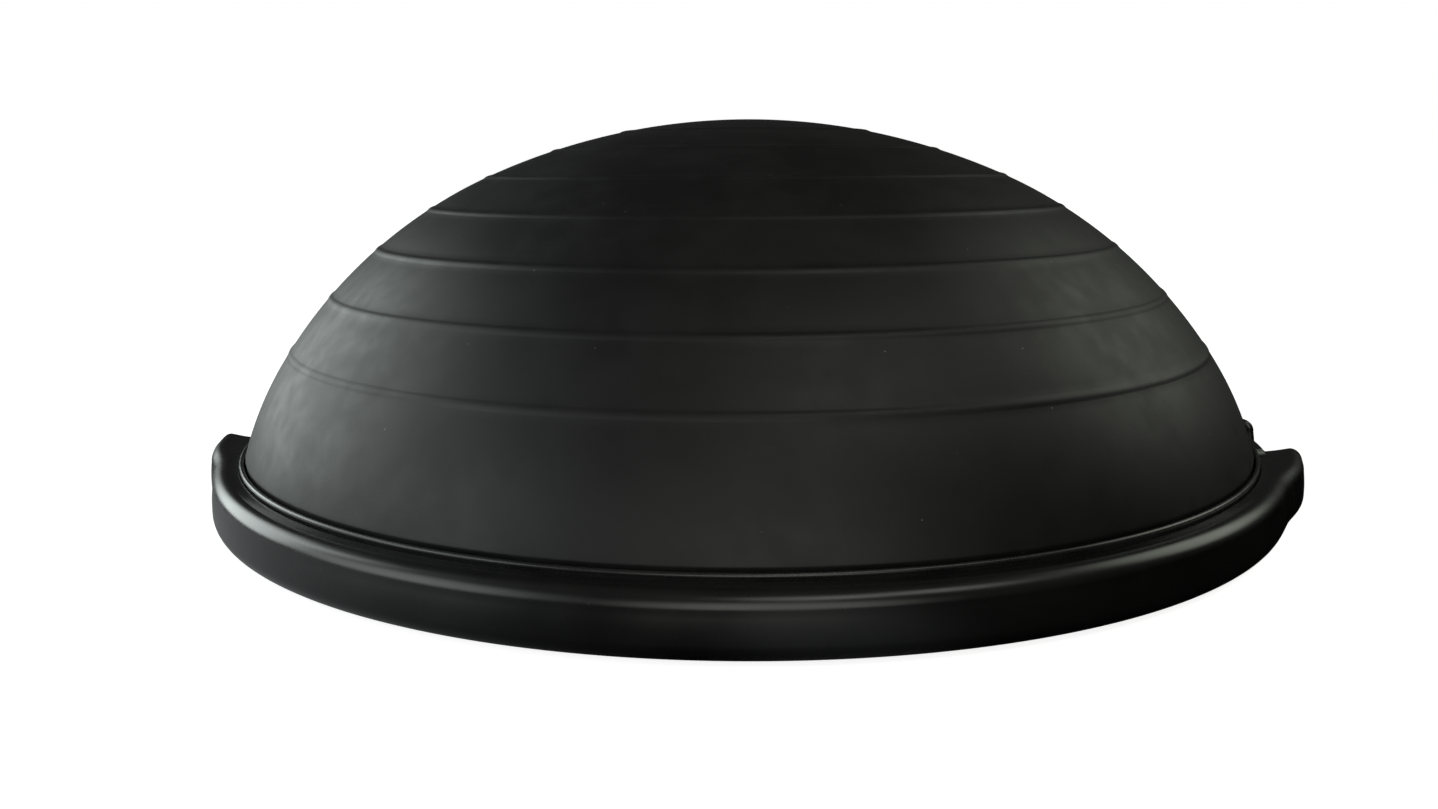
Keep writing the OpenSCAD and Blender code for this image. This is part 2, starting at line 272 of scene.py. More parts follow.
def build_dome():
    """The inflated skin: one closed shell with its ribs, its tuck and the flange that is clamped."""
    section = dome_section()
    ring = section[1:-1]
    columns = len(ring)
    angles = np.linspace(0, 2 * math.pi, DOME_STEPS, endpoint=False)
    co = np.concatenate([turned(ring[:, 0], ring[:, 1], a) for a in angles])
    co = np.vstack([uneven(co), [0, 0, section[0, 1]], [0, 0, section[-1, 1]]])
    crown, ceiling = len(co) - 2, len(co) - 1
    faces = []
    for i in range(DOME_STEPS):
        a, b = i * columns, (i + 1) % DOME_STEPS * columns
        faces.append((crown, a, b))
        faces += [(a + j, a + j + 1, b + j + 1, b + j) for j in range(columns - 1)]
        faces.append((ceiling, b + columns - 1, a + columns - 1))
    return add_piece("dome_skin", co, faces)


# ---------------------------------------------------------------- rim with its hand holds
BULGE_X = (HANDLE_R**2 - RIM_R**2) / (2 * (HANDLE_R - RIM_R * math.cos(LOBE_START_A)))
BULGE_R = HANDLE_R - BULGE_X
LOW_Z = RIM_FOOT + LOWER_R
SHOULDER_Z = RIM_TOP - SHOULDER_R
GRIP_C_Z = GRIP_Z - GRIP_EDGE_R
# Where the grip bar's rounded edge leaves the rim's lower arc, in degrees below the horizontal
TOUCH_A = math.degrees(math.asin((LOW_Z - GRIP_C_Z) / (LOWER_R - GRIP_EDGE_R)))

# Numbers of points on the parts of a section. The whole rim's section and the grip bar's section
# begin and end with the same parts. Their parts in between have 41 points each, which pair up where
# a lobe ends.
FOOT_N, LOWER_N = 3, 9
BORE_N, LIP_N = 6, 4
LIFT_N, SIDE_N, SHOULDER_N, TOP_N, INNER_N = 6, 5, 16, 6, 8
EDGE_N, GRIP_N, FILLET_N, WALL_N, CORNER_N = 16, 17, 3, 3, 2


def rim_radius(angle):
    """Outer radius of the rim at an angle round Z: round, with a bulge at each hand hold."""
    across = abs(math.cos(angle))
    reach = BULGE_R**2 - (BULGE_X * math.sin(angle)) ** 2
    bulge = BULGE_X * across + math.sqrt(reach) if reach > 0 else 0.0
    gap = abs(RIM_R - bulge)
    return max(RIM_R, bulge) + LOBE_BLEND / 2 * math.exp(-gap / LOBE_BLEND)


def full_section(wall):
    """Closed section of the whole rim whose wall has this radius, and how it meets a recess.

    Its points run from the bore's foot outwards, up the wall, in over the top and back inside.
    """
    low = (wall - LOWER_R, LOW_Z)
    top = (wall - WALL_LEAN - SHOULDER_R, SHOULDER_Z)
    side = line((wall, LOW_Z), (wall - WALL_LEAN, SHOULDER_Z), SIDE_N)
    side[:, 0] += WALL_BOW * np.sin(math.pi * np.arange(SIDE_N) / SIDE_N)
    outside = np.vstack([
        line((RIM_BORE, RIM_FOOT), (max(low[0], RIM_BORE), RIM_FOOT), FOOT_N),
        arc(low, LOWER_R, -90, -TOUCH_A, LOWER_N),
        arc(low, LOWER_R, -TOUCH_A, 0, LIFT_N),
        side,
        arc(top, SHOULDER_R, 0, 90, SHOULDER_N),
        line((top[0], RIM_TOP), (RECESS_R + HAIR, RIM_TOP), TOP_N),
        line((RECESS_R + HAIR, RIM_TOP), (RECESS_R - LIP_R, RIM_TOP), INNER_N),
        line((RECESS_R - LIP_R, RIM_TOP), (RIM_BORE + LIP_R, RIM_TOP), BORE_N),
        arc((RIM_BORE + LIP_R, RIM_TOP - LIP_R), LIP_R, 90, 180, LIP_N),
    ])
    inside = np.vstack([
        line((RIM_BORE, RIM_TOP - LIP_R), (RIM_BORE, FLANGE_Z), 3),
        [(RIM_BORE, FLANGE_Z), (LEG_R, FLANGE_Z), (LEG_R, RIM_TOP - RIM_WALL - HAIR)],
        arc(top, SHOULDER_R - RIM_WALL, 90, 0, 5),
        line((wall - WALL_LEAN - RIM_WALL, SHOULDER_Z), (wall - RIM_WALL, LOW_Z), 2),
        arc(low, LOWER_R - RIM_WALL, 0, -90, 7),
        [(RIM_BORE, RIM_FOOT + RIM_WALL)],
    ])
    outside[:, 0] = np.maximum(outside[:, 0], RIM_BORE)
    across = (outside[:, 0] - RIM_BORE) / (top[0] - RIM_BORE)
    on_top = outside[:, 1] > RIM_TOP - HAIR / 20
    outside[:, 1] -= TOP_DIP * on_top * np.sin(math.pi * np.clip(across, 0, 1))
    return outside, inside


def grip_section(wall):
    """The same points where the recess cuts the rim down to the grip bar and a thin inner wall."""
    low = (wall - LOWER_R, LOW_Z)
    edge = (low[0] + (LOWER_R - GRIP_EDGE_R) * math.cos(math.radians(TOUCH_A)), GRIP_C_Z)
    ceiling = GRIP_Z - RIM_WALL
    wall_in = RECESS_R - RIM_WALL
    outside = np.vstack([
        line((RIM_BORE, RIM_FOOT), (max(low[0], RIM_BORE), RIM_FOOT), FOOT_N),
        arc(low, LOWER_R, -90, -TOUCH_A, LOWER_N),
        arc(edge, GRIP_EDGE_R, -TOUCH_A, 90, EDGE_N),
        line((edge[0], GRIP_Z), (RECESS_R + RECESS_FILLET, GRIP_Z), GRIP_N),
        arc((RECESS_R + RECESS_FILLET, GRIP_Z + RECESS_FILLET), RECESS_FILLET, 270, 180, FILLET_N),
        line((RECESS_R, GRIP_Z + RECESS_FILLET), (RECESS_R, RIM_TOP - LIP_R), WALL_N),
        arc((RECESS_R - LIP_R, RIM_TOP - LIP_R), LIP_R, 0, 90, CORNER_N),
        line((RECESS_R - LIP_R, RIM_TOP), (RIM_BORE + LIP_R, RIM_TOP), BORE_N),
        arc((RIM_BORE + LIP_R, RIM_TOP - LIP_R), LIP_R, 90, 180, LIP_N),
    ])
    inside = np.vstack([
        line((RIM_BORE, RIM_TOP - LIP_R), (RIM_BORE, FLANGE_Z), 3),
        [(RIM_BORE, FLANGE_Z), (wall_in, FLANGE_Z), (wall_in, ceiling)],
        arc(edge, GRIP_EDGE_R - RIM_WALL, 90, -TOUCH_A, 7),
        arc(low, LOWER_R - RIM_WALL, -TOUCH_A, -90, 7),
        [(RIM_BORE, RIM_FOOT + RIM_WALL)],
    ])
    outside[:, 0] = np.maximum(outside[:, 0], RIM_BORE)
    return outside, inside


def section_normals(points):
    """Outward normals of a section's points, which run anticlockwise in (r, z)."""
    along = np.roll(points, -1, axis=0) - np.roll(points, 1, axis=0)
    normal = np.column_stack([along[:, 1], -along[:, 0]])
    return normal / np.maximum(np.linalg.norm(normal, axis=1), 1e-9)[:, None]


def edge_radii():
    """Radius of the rounding at each outside point: where the lobe ends, and where the grip bar begins."""
    top_share = smoothstep(np.linspace(0, 1, SHOULDER_N))
    lobe = np.concatenate([
        np.zeros(FOOT_N + LOWER_N),
        LOBE_EDGE_R * smoothstep(np.arange(LIFT_N) / LIFT_N),
        np.full(SIDE_N, LOBE_EDGE_R),
        LOBE_EDGE_R + (LOBE_TOP_R - LOBE_EDGE_R) * top_share,
        np.full(TOP_N, LOBE_TOP_R),
        LOBE_TOP_R * (1 - smoothstep(np.linspace(0, 1, INNER_N))),
        np.zeros(BORE_N + LIP_N),
    ])
    grip = np.concatenate([
        np.zeros(FOOT_N + LOWER_N),
        END_FILLET * smoothstep(np.arange(EDGE_N) / EDGE_N - 0.2),
        np.full(GRIP_N + FILLET_N, END_FILLET),
        END_FILLET * (1 - smoothstep(np.linspace(0, 1, WALL_N + CORNER_N))),
        np.zeros(BORE_N + LIP_N),
    ])
    return lobe[:, None], grip[:, None]


END_SLOPE = (RECESS_IN_W - RECESS_OUT_W) / (HANDLE_R - RECESS_R)


def end_wall_angle(r):
    """Angle round Z of the recess's flat end wall at radius r."""
    reach = (RECESS_IN_W + END_SLOPE * RECESS_R) / math.hypot(1, END_SLOPE)
    return np.arcsin(reach / r) - math.atan(END_SLOPE)


END_A = float(end_wall_angle(RECESS_R))
# A step round Z is longer than the way it makes square to the slanted end wall, by this factor
END_LEAN = 1 / math.cos(math.atan(END_SLOPE) + END_A)


def sheared_row(angle, section_of, fade):
    """A row of the grid at an angle round Z, turned towards the end wall's line by its share fade."""
    outer_a = angle + (float(end_wall_angle(HANDLE_R)) - END_A) * fade
    points = np.vstack(section_of(rim_radius(outer_a)))
    turn = (end_wall_angle(points[:, 0]) - END_A) * fade
    return points, angle + turn


def end_rows():
    """Rows of the grid that make one end of a lobe, from the grip bar to the lobe."""
    wall = rim_radius(float(end_wall_angle(HANDLE_R)))
    full, full_inside = full_section(wall)
    grip, grip_inside = grip_section(wall)
    lobe_r, fillet_r = edge_radii()
    full_n = section_normals(full)
    grip_n = section_normals(grip)
    foot = grip + grip_n * fillet_r
    head = full - full_n * lobe_r
    deep = LOBE_EDGE_R + RIM_WALL
    wall_step = 0.4 * MM        # the inside's rows stay behind the end wall, and follow each other closely
    lobe_step, lobe_run = 0.5 * MM, 2 * MM
    rows = []
    for t in np.linspace(90, 0, 6):
        rise, run = 1 - math.sin(math.radians(t)), 1 - math.cos(math.radians(t))
        shift_in = deep * (1 - t / 90) - END_FILLET * t / 90
        rows.append((grip + grip_n * fillet_r * rise, -fillet_r * run, grip_inside, shift_in))
    for u in (0.2, 0.4, 0.6, 0.8):
        between = grip_inside * (1 - u) + full_inside * u
        rows.append((foot * (1 - u) + head * u, 0 * lobe_r, between, deep + u * wall_step))
    for t in np.linspace(90, 0, 8):
        sink, run = 1 - math.cos(math.radians(t)), 1 - math.sin(math.radians(t))
        shift_in = deep + lobe_step + lobe_run * (1 - t / 90)
        rows.append((full - full_n * lobe_r * sink, lobe_r * run, full_inside, shift_in))
    made = []
    for outside, shift, inside, shift_in in rows:
        points = np.vstack([outside, inside])
        shifts = np.concatenate([shift[:, 0], np.full(len(inside), shift_in)])
        made.append((points, end_wall_angle(points[:, 0]) + END_LEAN * shifts / points[:, 0]))
    return made


def quarter_rows():
    """All rows between the X axis and the Y axis: grip bar, end of the lobe, lobe, round rim."""
    deg = math.radians(1)
    grip_end = END_A - 5 * MM / RECESS_R
    lobe_end = END_A + 19 * MM / RECESS_R
    round_from = LOBE_START_A + 3 * deg
    rows = []
    for a in np.linspace(0, grip_end, 15):
        rows.append(sheared_row(a, grip_section, 1 - smoothstep((END_A - 1 * deg - a) / (8 * deg))))
    rows += end_rows()
    for a in np.linspace(lobe_end, round_from, 34):
        rows.append(sheared_row(a, full_section, 1 - smoothstep((a - lobe_end) / (6 * deg))))
    for a in np.linspace(round_from, math.pi / 2, 85)[1:]:
        rows.append(sheared_row(a, full_section, 0.0))
    return rows


def notch_cutters():
    """Closed solids of the notches in the rim's underside, open to its bore."""
    work = bmesh.new()
    half_turn = np.linspace(-math.pi / 2, math.pi / 2, 17)
    outline = [(NOTCH_R * math.cos(a), NOTCH_R * math.sin(a)) for a in half_turn]
    outline += [(-2 * NOTCH_R, NOTCH_R), (-2 * NOTCH_R, -NOTCH_R)]
    for i in range(NOTCH_COUNT):
        turn = Matrix.Rotation(2 * math.pi * (i + 0.5) / NOTCH_COUNT, 4, "Z")
        place = turn @ Matrix.Translation((NOTCH_PCR, 0, 0))
        low = [work.verts.new(place @ Vector((x, y, 0))) for x, y in outline]
        high = [work.verts.new(place @ Vector((x, y, NOTCH_H))) for x, y in outline]
        work.faces.new(low[::-1])
        work.faces.new(high)
        for j in range(len(outline)):
            k = (j + 1) % len(outline)
            work.faces.new((low[j], low[k], high[k], high[j]))
    mesh = bpy.data.meshes.new("notch_cutters")
    work.to_mesh(mesh)
    work.free()
    cutters = bpy.data.objects.new("notch_cutters", mesh)
    bpy.context.scene.collection.objects.link(cutters)
    return cutters


def cut(piece, cutters):
    """Takes the cutters' space out of a piece's mesh and deletes them."""
    boolean = piece.modifiers.new("notches", "BOOLEAN")
    boolean.operation = "DIFFERENCE"
    boolean.solver = "EXACT"
    boolean.object = cutters
    graph = bpy.context.evaluated_depsgraph_get()
    made = bpy.data.meshes.new_from_object(piece.evaluated_get(graph))
    piece.modifiers.clear()
    piece.data = made
    bpy.data.objects.remove(cutters)


def build_rim():
    """The rim as one closed grid of sections, with the notches of its screws cut into it."""
    quarter = quarter_rows()
    rows = []
    for turn, mirror in ((0, 1), (math.pi, -1), (math.pi, 1), (2 * math.pi, -1)):
        part = quarter[:-1] if mirror == 1 else quarter[:0:-1]
        rows += [turned(p[:, 0], p[:, 1], turn + mirror * a) for p, a in part]
    rim = torus_grid("rim_shell", rows)
    cut(rim, notch_cutters())
    return rim


# ---------------------------------------------------------------- trim, mat and grip ring
def build_trim():
    """The soft bead between the rim and the dome, on the strip that holds it in the joint."""
    foot_z, out_r = trim_low.z, trim_high.x
    neck = 0.1 * MM
    strip_z = trim_high.z - 2 * BEAD_R - neck
    section = np.vstack([
        line((TRIM_IN_R, foot_z), (out_r, foot_z), 2),
        line((out_r, foot_z), (out_r, strip_z), 3),
        arc((BEAD_C_R, trim_high.z - BEAD_R), BEAD_R, -45, 225, 22),
        line((TRIM_IN_R, strip_z), (TRIM_IN_R, foot_z), 3),
    ])
    angles = np.linspace(0, 2 * math.pi, 480, endpoint=False)
    return torus_grid("trim_bead", [turned(section[:, 0], section[:, 1], a) for a in angles])


def build_treaded(name, low, high, in_r, ribs, sectors, tread, channel):
    """A flat ring whose underside is moulded in concentric ribs, cut by radial channels."""
    out_r = high.x
    edge = 1 * MM
    side_z = low.z + tread + 0.3 * MM
    per_rib = 6
    t = np.linspace(0, 1, ribs * per_rib + 1)
    r = in_r + edge + (out_r - in_r - 2 * edge) * t
    rib = np.sqrt(np.abs(np.sin(math.pi * ribs * t)))
    shares = np.array([0, 0.35, 0.5, 0.65, 1.0])
    rows = []
    pitch = 2 * math.pi / sectors
    mean_r = (in_r + out_r) / 2
    half = channel / 2 / mean_r
    plain_step = 9 * MM
    plain = max(3, int(pitch * mean_r / plain_step))
    steps = np.concatenate([half * (2 * shares - 1), np.linspace(half, pitch - half, plain)[1:-1]])
    depth = np.concatenate([[0, 0.8, 1, 0.8, 0], np.zeros(len(steps) - 5)])
    for i in range(sectors):
        for step, sunk in zip(steps, depth):
            a = i * pitch + step
            z = low.z + tread * (1 - rib * (1 - sunk))
            under = np.column_stack([r, z])
            loop = np.vstack([
                [(in_r, high.z), (in_r, side_z)],
                under,
                [(out_r, side_z), (out_r, high.z)],
            ])
            rows.append(turned(loop[:, 0], loop[:, 1], a))
    return torus_grid(name, rows)


# ---------------------------------------------------------------- build and place the pieces
dome = build_dome()
rim = build_rim()
trim = build_trim()
mat = build_treaded("mat_ribbed", mat_low, mat_high, MAT_IN_R, 36, 24, 0.7 * MM, 4 * MM)
grip = build_treaded("grip_ribbed", ring_low, ring_high, RING_IN_R, 5, 144, 1.0 * MM, 2.4 * MM)

PLACES = [
    (dome, "dome", "dome_bladder", "dome_rubber"),
    (rim, "platform", "handle_rim", "rim_plastic"),
    (trim, "platform", "dome_trim", "trim_vinyl"),
    (mat, "platform", "deck_mat", "mat_rubber"),
    (grip, "platform", "grip_ring", "mat_rubber"),
]
for piece, body, node, slot in PLACES:
    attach(piece, body)
    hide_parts(node)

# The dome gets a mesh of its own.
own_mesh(dome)


# ---------------------------------------------------------------- shader nodes
def add(tree, kind, inputs=None, **settings):
    """A new shader node. An input that is a socket gets linked, any other value is set."""
    node = tree.nodes.new(kind)
    for key, value in settings.items():
        setattr(node, key, value)
    for key, value in (inputs or {}).items():
        if isinstance(value, bpy.types.NodeSocket):
            tree.links.new(value, node.inputs[key])
        else:
            node.inputs[key].default_value = value
    return node


def math_node(tree, operation, a, b):
    return add(tree, "ShaderNodeMath", {0: a, 1: b}, operation=operation).outputs[0]


def ramp(tree, value, low, high, out_low=0.0, out_high=1.0):
    """Value moved softly from the range low to high to the range out_low to out_high."""
    limits = {"Value": value, "From Min": low, "From Max": high, "To Min": out_low, "To Max": out_high}
    return add(tree, "ShaderNodeMapRange", limits, interpolation_type="SMOOTHSTEP").outputs["Result"]


def noise(tree, place, size, detail=2.0, stretch=(1, 1, 1)):
    """Noise from 0 to 1 whose features are about this size in metres."""
    scaled = add(tree, "ShaderNodeMapping", {"Vector": place, "Scale": stretch}).outputs["Vector"]
    inputs = {"Vector": scaled, "Scale": 1 / size, "Detail": detail, "Roughness": 0.55}
    return add(tree, "ShaderNodeTexNoise", inputs).outputs["Fac"]


def specks(tree, place, spacing, radius, stretch=(1, 1, 1)):
    """1 in small round spots of this radius, strewn at about this spacing, and 0 elsewhere."""
    scaled = add(tree, "ShaderNodeMapping", {"Vector": place, "Scale": stretch}).outputs["Vector"]
    cells = add(tree, "ShaderNodeTexVoronoi", {"Vector": scaled, "Scale": 1 / spacing})
    return ramp(tree, cells.outputs["Distance"], radius / spacing, 0.4 * radius / spacing)


def mixed(tree, share, a, b):
    """Colour a where share is 0, colour b where it is 1."""
    inputs = {"Factor": share, 6: a, 7: b}
    return add(tree, "ShaderNodeMix", inputs, data_type="RGBA").outputs[2]


def bump(tree, height, depth, below=None):
    """Normal of a surface that rises by depth metres where height is 1, over an earlier bump."""
    inputs = {"Height": height, "Distance": depth}
    if below is not None:
        inputs["Normal"] = below
    return add(tree, "ShaderNodeBump", inputs).outputs["Normal"]


def grey(value, tint=(1, 1, 1)):
    return tuple(value * t for t in tint) + (1,)


def material_tree(name):
    """A new node material with nothing in it, and object coordinates in metres."""
    material = bpy.data.materials.new(name)
    material.use_nodes = True
    tree = material.node_tree
    tree.nodes.clear()
    return material, tree, add(tree, "ShaderNodeTexCoord").outputs["Object"]


def close_tree(tree, shader):
    add(tree, "ShaderNodeOutputMaterial", {"Surface": shader.outputs[0]})


# ---------------------------------------------------------------- materials
RUBBER_TINT = (0.985, 1.0, 0.97)


def dome_rubber():
    """Satin rubber skin: cloudy gloss, fine moulded grain, rubbed marks and a few specks of dust."""
    material, tree, place = material_tree("dome_rubber")
    cloud = noise(tree, place, 60 * MM, 3)
    smudge = noise(tree, place, 14 * MM, 5)
    grain = noise(tree, place, 0.9 * MM, 3)
    rubbed = specks(tree, place, 22 * MM, 0.5 * MM, (1, 1, 0.15))
    dust = specks(tree, place, 15 * MM, 0.38 * MM)
    tone = mixed(tree, ramp(tree, cloud, 0.35, 0.68), grey(0.003, RUBBER_TINT), grey(0.005, RUBBER_TINT))
    tone = mixed(tree, math_node(tree, "MULTIPLY", rubbed, 0.25), tone, grey(0.1))
    tone = mixed(tree, math_node(tree, "MULTIPLY", dust, 0.6), tone, grey(0.35))
    gloss = ramp(tree, math_node(tree, "ADD", cloud, smudge), 0.75, 1.25, 0.44, 0.52)
    normal = bump(tree, grain, 0.05 * MM)
    normal = bump(tree, smudge, 0.05 * MM, normal)
    shader = add(tree, "ShaderNodeBsdfPrincipled", {
        "Base Color": tone,
        "Roughness": math_node(tree, "ADD", gloss, math_node(tree, "MULTIPLY", rubbed, 0.15)),
        "Specular IOR Level": 0.33,
        "Normal": normal,
    })
    close_tree(tree, shader)
    return material


def rim_plastic():
    """Semi-gloss injection moulding, with hairline scratches and scuffs along its lower edge."""
    material, tree, place = material_tree("rim_plastic")
    height = add(tree, "ShaderNodeSeparateXYZ", {"Vector": place}).outputs["Z"]
    cloud = noise(tree, place, 45 * MM, 2)
    pores = noise(tree, place, 0.5 * MM, 2)
    hair = noise(tree, place, 0.35 * MM, 1, (1, 1, 0.03))
    hair = math_node(tree, "MULTIPLY", ramp(tree, hair, 0.72, 0.8), ramp(tree, cloud, 0.55, 0.7))
    low_down = ramp(tree, height, 7 * MM, 1.5 * MM)
    scuff = math_node(tree, "MULTIPLY", ramp(tree, noise(tree, place, 3 * MM, 5), 0.5, 0.72), low_down)
    nick = specks(tree, place, 26 * MM, 0.5 * MM)
    worn = math_node(tree, "MAXIMUM", math_node(tree, "MULTIPLY", scuff, 0.5), nick)
    tone = mixed(tree, ramp(tree, cloud, 0.3, 0.7), grey(0.004), grey(0.0055))
    tone = mixed(tree, worn, tone, grey(0.05))
    gloss = ramp(tree, cloud, 0.3, 0.75, 0.25, 0.3)
    gloss = math_node(tree, "ADD", gloss, math_node(tree, "MULTIPLY", worn, 0.3))
    normal = bump(tree, pores, 0.003 * MM)
    normal = bump(tree, hair, -0.006 * MM, normal)
    inputs = {"Base Color": tone, "Roughness": gloss, "Normal": normal}
    close_tree(tree, add(tree, "ShaderNodeBsdfPrincipled", inputs))
    return material


def moulded(name, tone, gloss, grain, depth, tint=(1, 1, 1)):
    """A plain moulding: uneven tone and gloss, and a grain of this size and depth in metres."""
    material, tree, place = material_tree(name)
    cloud = noise(tree, place, 25 * MM, 4)
    rough = noise(tree, place, grain, 3)
    colour = mixed(tree, ramp(tree, cloud, 0.3, 0.7), grey(0.8 * tone, tint), grey(1.2 * tone, tint))
    dust = specks(tree, place, 12 * MM, 0.3 * MM)
    shader = add(tree, "ShaderNodeBsdfPrincipled", {
        "Base Color": mixed(tree, math_node(tree, "MULTIPLY", dust, 0.4), colour, grey(0.3)),
        "Roughness": ramp(tree, math_node(tree, "ADD", cloud, rough), 0.7, 1.3, gloss - 0.05, gloss + 0.05),
        "Normal": bump(tree, rough, depth),
    })
    close_tree(tree, shader)
    return material


def pebbled(name, tone, pebble):
    """Non-slip rubber: rounded pebbles of this size, with dust in the hollows between them."""
    material, tree, place = material_tree(name)
    cells = add(tree, "ShaderNodeTexVoronoi", {"Vector": place, "Scale": 1 / pebble}, feature="SMOOTH_F1")
    hollow = ramp(tree, cells.outputs["Distance"], 0.25, 0.75)
    dirt = math_node(tree, "MULTIPLY", hollow, ramp(tree, noise(tree, place, 18 * MM, 4), 0.4, 0.75))
    shader = add(tree, "ShaderNodeBsdfPrincipled", {
        "Base Color": mixed(tree, dirt, grey(tone), grey(3 * tone, (1.05, 1, 0.93))),
        "Roughness": ramp(tree, dirt, 0, 1, 0.6, 0.85),
        "Normal": bump(tree, hollow, -0.15 * MM),
    })
    close_tree(tree, shader)
    return material


def fibre_filled():
    """Glass-filled nylon: a dull dark ground with short pale fibres near the surface."""
    material, tree, place = material_tree("clamp_plastic")
    fibres = specks(tree, place, 1.6 * MM, 0.35 * MM, (0.25, 1, 1))
    across = specks(tree, place, 1.9 * MM, 0.35 * MM, (1, 0.3, 1))
    both = math_node(tree, "MULTIPLY", math_node(tree, "MAXIMUM", fibres, across), 0.35)
    shader = add(tree, "ShaderNodeBsdfPrincipled", {
        "Base Color": mixed(tree, both, grey(0.05), grey(0.2)),
        "Roughness": ramp(tree, noise(tree, place, 8 * MM, 3), 0.3, 0.7, 0.5, 0.62),
        "Normal": bump(tree, noise(tree, place, 0.6 * MM, 2), 0.04 * MM),
    })
    close_tree(tree, shader)
    return material


def metal(name, bright, dull, gloss, tinge):
    """Small turned or plated metal part: dull patches, a slight tinge and fine tool marks."""
    material, tree, place = material_tree(name)
    patch = ramp(tree, noise(tree, place, 3 * MM, 4), 0.35, 0.7)
    marks = noise(tree, place, 0.25 * MM, 1, (1, 1, 6))
    colour = mixed(tree, patch, bright, dull)
    colour = mixed(tree, ramp(tree, noise(tree, place, 7 * MM, 2), 0.45, 0.75, 0, 0.5), colour, tinge)
    shader = add(tree, "ShaderNodeBsdfPrincipled", {
        "Base Color": colour,
        "Metallic": 1.0,
        "Roughness": ramp(tree, patch, 0, 1, gloss, gloss + 0.15),
        "Normal": bump(tree, marks, 0.01 * MM),
    })
    close_tree(tree, shader)
    return material


BRASS, WORN_BRASS, RED_BRASS = (0.75, 0.52, 0.2, 1), (0.5, 0.33, 0.12, 1), (0.6, 0.36, 0.16, 1)
ZINC, WORN_ZINC, YELLOW_ZINC = grey(0.6), grey(0.38), (0.55, 0.5, 0.36, 1)
finishes = {
    "dome_rubber": dome_rubber(),
    "rim_plastic": rim_plastic(),
    "trim_vinyl": moulded("trim_vinyl", 0.01, 0.28, 1.2 * MM, 0.006 * MM),
    "base_plastic": moulded("base_plastic", 0.02, 0.5, 0.7 * MM, 0.05 * MM),
    "mat_rubber": pebbled("mat_rubber", 0.02, 1.8 * MM),
    "clamp_plastic": fibre_filled(),
    "seal_rubber": moulded("seal_rubber", 0.035, 0.7, 0.4 * MM, 0.02 * MM),
    "insert_brass": metal("insert_brass", BRASS, WORN_BRASS, 0.25, RED_BRASS),
    "screw_steel": metal("screw_steel", ZINC, WORN_ZINC, 0.28, YELLOW_ZINC),
    "valve_plastic": moulded("valve_plastic", 0.03, 0.38, 0.6 * MM, 0.015 * MM, (1, 1, 1.03)),
}


def finish(piece, slot):
    piece.data.materials.clear()
    piece.data.materials.append(finishes[slot])


def round_edges(piece, width=0.25 * MM):
    """Breaks the sharp edges of a CAD mesh that stays on show."""
    weld = piece.modifiers.new("weld", "WELD")
    weld.merge_threshold = 0.002 * MM
    bevel = piece.modifiers.new("bevel", "BEVEL")
    bevel.width = width
    bevel.segments = 2
    bevel.limit_method = "ANGLE"
    bevel.angle_limit = math.radians(40)
    bevel.harden_normals = True


# The base plate is closed in on all sides, and its ribs lie too close together for rounded edges
square = {node for _, _, node, _ in PLACES} | {"base_plate"}
for part in frame["record"]["subparts"]:
    node = frame["nodes"][part["node"]]
    finish(node, part["material_slot"])
    if part["node"] not in square:
        round_edges(node)
for piece, _, _, slot in PLACES:
    finish(piece, slot)


# ---------------------------------------------------------------- floor, light and camera
PALE = 1.0

# The floor as the camera sees it, and as the object reflects it: dark, with glows (centre, radius, strength)
FLOOR_HALF = 8.0
FLOOR_ALBEDO = 0.6
FLOOR_LIFT = 0.85
FLOOR_GLOWS = [
    ((-0.36, -0.26, 0), 0.38, 0.34),
    ((0.08, -0.40, 0), 0.12, 0.25),
]

# Soft lights round the object: azimuth, elevation, full and outer half angle, brightness, colour
SOFTBOXES = [
    (-116, 13, 11, 25, 4.2, (0.92, 1.0, 0.98)),
    (-100, 36, 2, 11, 2.7, (0.93, 1.0, 0.98)),
    (-86, 48, 4, 20, 0.2, (0.95, 1.0, 0.98)),
    (-64, 12, 3, 34, 2.6, (0.93, 1.0, 0.98)),
    (119, 31, 8, 23, 1.9, (0.95, 1.0, 0.86)),
    (65, 57, 4, 14, 2.2, (0.98, 1.0, 0.92)),
    (25, 60, 4, 13, 3.2, (1.0, 1.0, 0.94)),
    (8, 13, 3, 34, 2.0, (1.0, 1.0, 0.95)),
    (20, 84, 12, 44, 0.06, (1.0, 1.0, 0.9)),
]
AMBIENT = 0.03

# The camera: degrees round the object, down, aside and about its own axis, then metres
CAMERA_AZIMUTH, CAMERA_PITCH, CAMERA_YAW, CAMERA_ROLL = 4.0, 10.86, 1.24, -0.34
CAMERA_DISTANCE = 0.770
CAMERA_HEIGHT = 0.1929
CAMERA_LENS, CAMERA_SENSOR = 30.81, 36


def direction(azimuth, elevation):
    """Unit vector: azimuth from the front towards +X, elevation above the floor, in degrees."""
    a, e = math.radians(azimuth), math.radians(elevation)
    return math.sin(a) * math.cos(e), -math.cos(a) * math.cos(e), math.sin(e)


